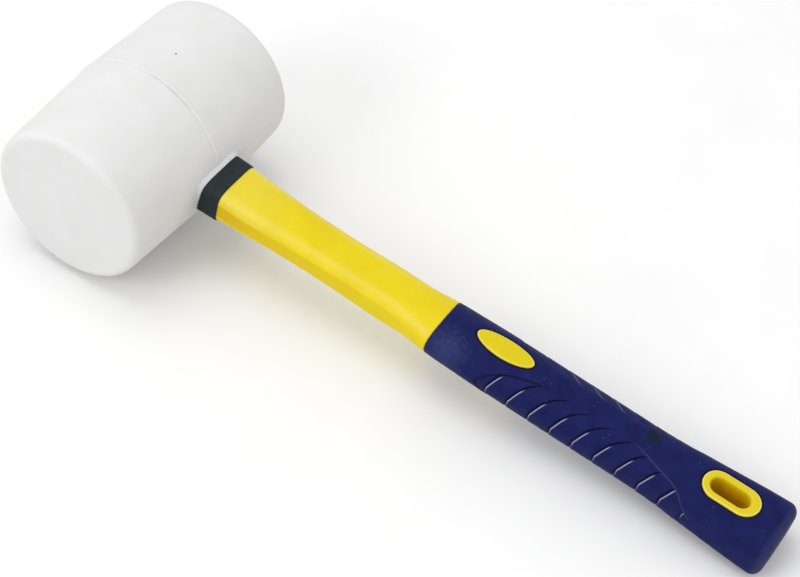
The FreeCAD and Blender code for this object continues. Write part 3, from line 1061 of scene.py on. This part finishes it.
def spot(tree, centre, radius, blur, raggedness=0.0):
    """1 within radius millimetres of a place in the design frame, 0 beyond the blur."""
    reach, end, ragged = (size / MM_PER_METRE for size in (radius, radius + blur, raggedness))
    apart = {0: place_of(tree), 1: PLACE @ Vector(centre)}
    distance = add(tree, "ShaderNodeVectorMath", apart, operation="DISTANCE").outputs["Value"]
    if raggedness:
        wobbling = {0: distance, 1: mottle(tree, radius * 0.8, -ragged, ragged)}
        distance = add(tree, "ShaderNodeMath", wobbling, operation="ADD").outputs[0]
    return spread(tree, distance, 1.0, 0.0, reach, end)


def specks(tree, spacing, size):
    """Scattered specks of about size millimetres, on average spacing millimetres apart."""
    inputs = {"Vector": place_of(tree), "Scale": MM_PER_METRE / spacing}
    cells = add(tree, "ShaderNodeTexVoronoi", inputs)
    near = spread(tree, cells.outputs["Distance"], 1.0, 0.0, 0.4 * size / spacing, size / spacing)
    chosen = spread(tree, cells.outputs["Color"], 0.0, 1.0, 0.62, 0.7)
    return add(tree, "ShaderNodeMath", {0: near, 1: chosen}, operation="MULTIPLY").outputs[0]


def painted(tree, name, share=1.0):
    """A point attribute, kept between 0 and the share."""
    value = add(tree, "ShaderNodeAttribute", attribute_name=name).outputs["Fac"]
    return spread(tree, value, 0.0, share)


def white_rubber():
    """Matt white rubber with a faint grain, slow clouding and a speck of dirt; its seam is paler
    along the bead, with painted shade beside it and a smudge of dirt, and the lip round the eye
    takes painted shade.
    """
    material, tree, shader = new_material("white_rubber")
    clouded = mix(tree, mottle(tree, 16, 0, 1), (0.635, 0.635, 0.632, 1), (0.665, 0.665, 0.665, 1))
    seamed = mix(tree, painted(tree, "highlight_and_wear", 0.6), clouded, (0.76, 0.76, 0.76, 1))
    # Painted shade beside the seam's bead and on the lip round the eye, darker over the seam's
    # smudge of dirt
    shaded_and_soiled = mix(tree, painted(tree, "shade_and_soil", 0.75), seamed, (0.42, 0.42, 0.42, 1))
    dirt_and_shade = spot(tree, SPECK_PLACE, 0.3, 0.35)
    colour = mix(tree, dirt_and_shade, shaded_and_soiled, (0.10, 0.10, 0.10, 1))
    grain = mottle(tree, 0.5, 0, 1, detail=4)
    inputs = {
        "Base Color": colour,
        "Roughness": mottle(tree, 9, 0.55, 0.65),
        "Specular IOR Level": 0.3,
        "Normal": bumped(tree, grain, 0.03, 0.5),
    }
    set_inputs(tree, shader, inputs)
    return material


def black_plastic():
    """Matt slate-black moulded plastic with a spark-eroded grain."""
    material, tree, shader = new_material("black_plastic")
    colour = mix(tree, mottle(tree, 3, 0, 1), (0.012, 0.018, 0.021, 1), (0.018, 0.026, 0.029, 1))
    inputs = {
        "Base Color": colour,
        "Roughness": mottle(tree, 1.2, 0.5, 0.65),
        "Specular IOR Level": 0.14,
        "Normal": bumped(tree, mottle(tree, 0.35, 0, 1), 0.04, 0.6),
    }
    set_inputs(tree, shader, inputs)
    return material


def yellow_body(name, light, deep):
    """Smooth moulded yellow plastic with slow flow clouding, deep orange where shade is painted and
    paler where a highlight is painted on edges and corners.
    """
    material, tree, shader = new_material(name)
    clouded = mix(tree, mottle(tree, 14, 0, 1), light, deep)
    # Painted shade, deep orange: the shaft's flat sides, its joint with the collar, and the slot's
    # inner wall
    with_shade = mix(tree, painted(tree, "shade_and_soil"), clouded, (0.62, 0.36, 0.001, 1))
    # Painted highlight, paler: the shaft's corners and crown near the collar, the inlays' rims and
    # the liner's mouths
    colour = mix(tree, painted(tree, "highlight_and_wear", 0.75), with_shade, (0.80, 0.74, 0.30, 1))
    inputs = {
        "Base Color": colour,
        "Roughness": mottle(tree, 5, 0.36, 0.46),
        "Specular IOR Level": 0.12,
        "Normal": bumped(tree, mottle(tree, 0.7, 0, 1), 0.02, 0.5),
    }
    set_inputs(tree, shader, inputs)
    return material


def yellow_plastic():
    return yellow_body("yellow_plastic", (0.69, 0.555, 0.008, 1), (0.65, 0.505, 0.004, 1))


def yellow_trim():
    return yellow_body("yellow_trim", (0.64, 0.52, 0.008, 1), (0.60, 0.47, 0.004, 1))


def navy_soft_plastic():
    """Soft navy plastic with lint and one stain, a painted sheen near the grip's front, painted
    highlights on groove walls and edges, and painted shade in its grooves and joints.
    """
    material, tree, shader = new_material("navy_soft_plastic")
    base = mix(tree, mottle(tree, 7, 0, 1), (0.0052, 0.0079, 0.065, 1), (0.0080, 0.0118, 0.086, 1))
    stain = spot(tree, (259, 3, 11.4), 1.6, 3.2, raggedness=1.0)
    stained = mix(tree, stain, base, (0.004, 0.012, 0.020, 1))
    # Painted sheen near the grip's front, on its -y side
    sheen = spot(tree, (166, -13, 4), 2.0, 11.0, raggedness=3.0)
    with_sheen = mix(tree, spread(tree, sheen, 0, 0.32), stained, (0.06, 0.075, 0.19, 1))
    dusty = mix(tree, specks(tree, 2.4, 0.28), with_sheen, (0.08, 0.09, 0.22, 1))
    # Painted highlight on the grooves' rear walls, the far side's tails, the panel's rear edge and
    # the butt's edge
    highlight_and_wear = mix(tree, painted(tree, "highlight_and_wear"), dusty, (0.46, 0.45, 0.66, 1))
    # Painted shade in the grooves, along the crescent, round the front edge and in the joints round
    # the inlays and the liner
    colour = mix(tree, painted(tree, "shade_and_soil", 0.9), highlight_and_wear, (0.002, 0.002, 0.008, 1))
    grain = mottle(tree, 0.3, 0, 1, detail=4)
    inputs = {
        "Base Color": colour,
        "Roughness": mottle(tree, 4, 0.46, 0.58),
        "Specular IOR Level": 0.07,
        "Normal": bumped(tree, grain, 0.05, 0.6),
    }
    set_inputs(tree, shader, inputs)
    return material


def cured_resin():
    """Amber cast resin, glossy, clouded by trapped air."""
    material, tree, shader = new_material("cured_resin")
    clouded = mix(tree, mottle(tree, 4, 0, 1), (0.42, 0.25, 0.08, 1), (0.50, 0.34, 0.14, 1))
    colour = mix(tree, specks(tree, 2.5, 0.4), clouded, (0.70, 0.58, 0.35, 1))
    inputs = {
        "Base Color": colour,
        "Roughness": mottle(tree, 3, 0.18, 0.3),
        "Normal": bumped(tree, mottle(tree, 2, 0, 1), 0.05, 0.5),
    }
    set_inputs(tree, shader, inputs)
    return material


def glass_fibre():
    """Pultruded rod: pale green resin with fibre streaks along its length."""
    material, tree, shader = new_material("glass_fibre")
    turn = {"Vector": place_of(tree), "Rotation": (0, -slope, 0), "Scale": (12, 1500, 1500)}
    turned = add(tree, "ShaderNodeMapping", turn)
    inputs = {"Vector": turned.outputs["Vector"], "Scale": 1.0, "Detail": 3.0}
    streaks = add(tree, "ShaderNodeTexNoise", inputs).outputs["Fac"]
    fibres = spread(tree, streaks, 0, 1, 0.35, 0.65)
    colour = mix(tree, fibres, (0.55, 0.56, 0.38, 1), (0.72, 0.72, 0.58, 1))
    inputs = {"Base Color": colour, "Roughness": 0.4, "Normal": bumped(tree, streaks, 0.03, 0.5)}
    set_inputs(tree, shader, inputs)
    return material


def finish_rod():
    """The rod keeps its CAD shape, and takes its finish through the object's own slot."""
    rod = frame["nodes"]["core_rod"]
    if not rod.material_slots:
        rod.data.materials.append(None)
    rod.material_slots[0].link = "OBJECT"
    rod.material_slots[0].material = glass_fibre()


# --- studio ----------------------------------------------------------------------------


def make_floor():
    mesh = bpy.data.meshes.new("floor")
    signs = ((-1, -1), (1, -1), (1, 1), (-1, 1))
    corners = [(FLOOR_REACH * x, FLOOR_REACH * y, 0) for x, y in signs]
    mesh.from_pydata(corners, [], [(0, 1, 2, 3)])
    floor = add_object("floor", mesh)
    material, tree, shader = new_material("pale_floor")
    paper = mix(tree, mottle(tree, 60, 0, 1), (0.80, 0.80, 0.80, 1), (0.82, 0.82, 0.82, 1))
    set_inputs(tree, shader, {"Base Color": paper, "Roughness": 0.9, "Specular IOR Level": 0.1})
    mesh.materials.append(material)


def soft_light(name, place, size, power):
    """Round lamp that faces the frame's origin."""
    lamp = bpy.data.lights.new(name, "AREA")
    lamp.shape = "DISK"
    lamp.size = size
    lamp.energy = power
    light = add_object(name, lamp)
    light.location = place
    light.rotation_euler = (-Vector(place)).to_track_quat("-Z", "Y").to_euler()


def make_studio():
    make_floor()
    world = bpy.data.worlds.new("studio")
    world.use_nodes = True
    sky = world.node_tree.nodes["Background"]
    sky.inputs["Color"].default_value = (1.0, 1.0, 1.0, 1)
    sky.inputs["Strength"].default_value = 0.96
    bpy.context.scene.world = world
    soft_light("overhead", (-0.5, -0.1, 1.6), 1.2, 6.0)
    soft_light("front", (-0.6, -1.3, 1.0), 0.8, 6.7)
    bpy.context.scene.view_settings.view_transform = "Standard"


def make_camera():
    data = bpy.data.cameras.new("camera")
    data.sensor_width = 36.0
    data.lens = LENS
    camera = add_object("camera", data)
    camera.location = CAMERA_PLACE
    camera.rotation_euler = [math.radians(turn) for turn in CAMERA_TURNS]
    bpy.context.scene.camera = camera


make_camera()
make_studio()
make_head()
make_collar()
make_jacket()
make_resin()
make_grip()
make_inlay("thumb_inlay_front", 1)
make_inlay("thumb_inlay_back", -1)
make_liner()
finish_rod()
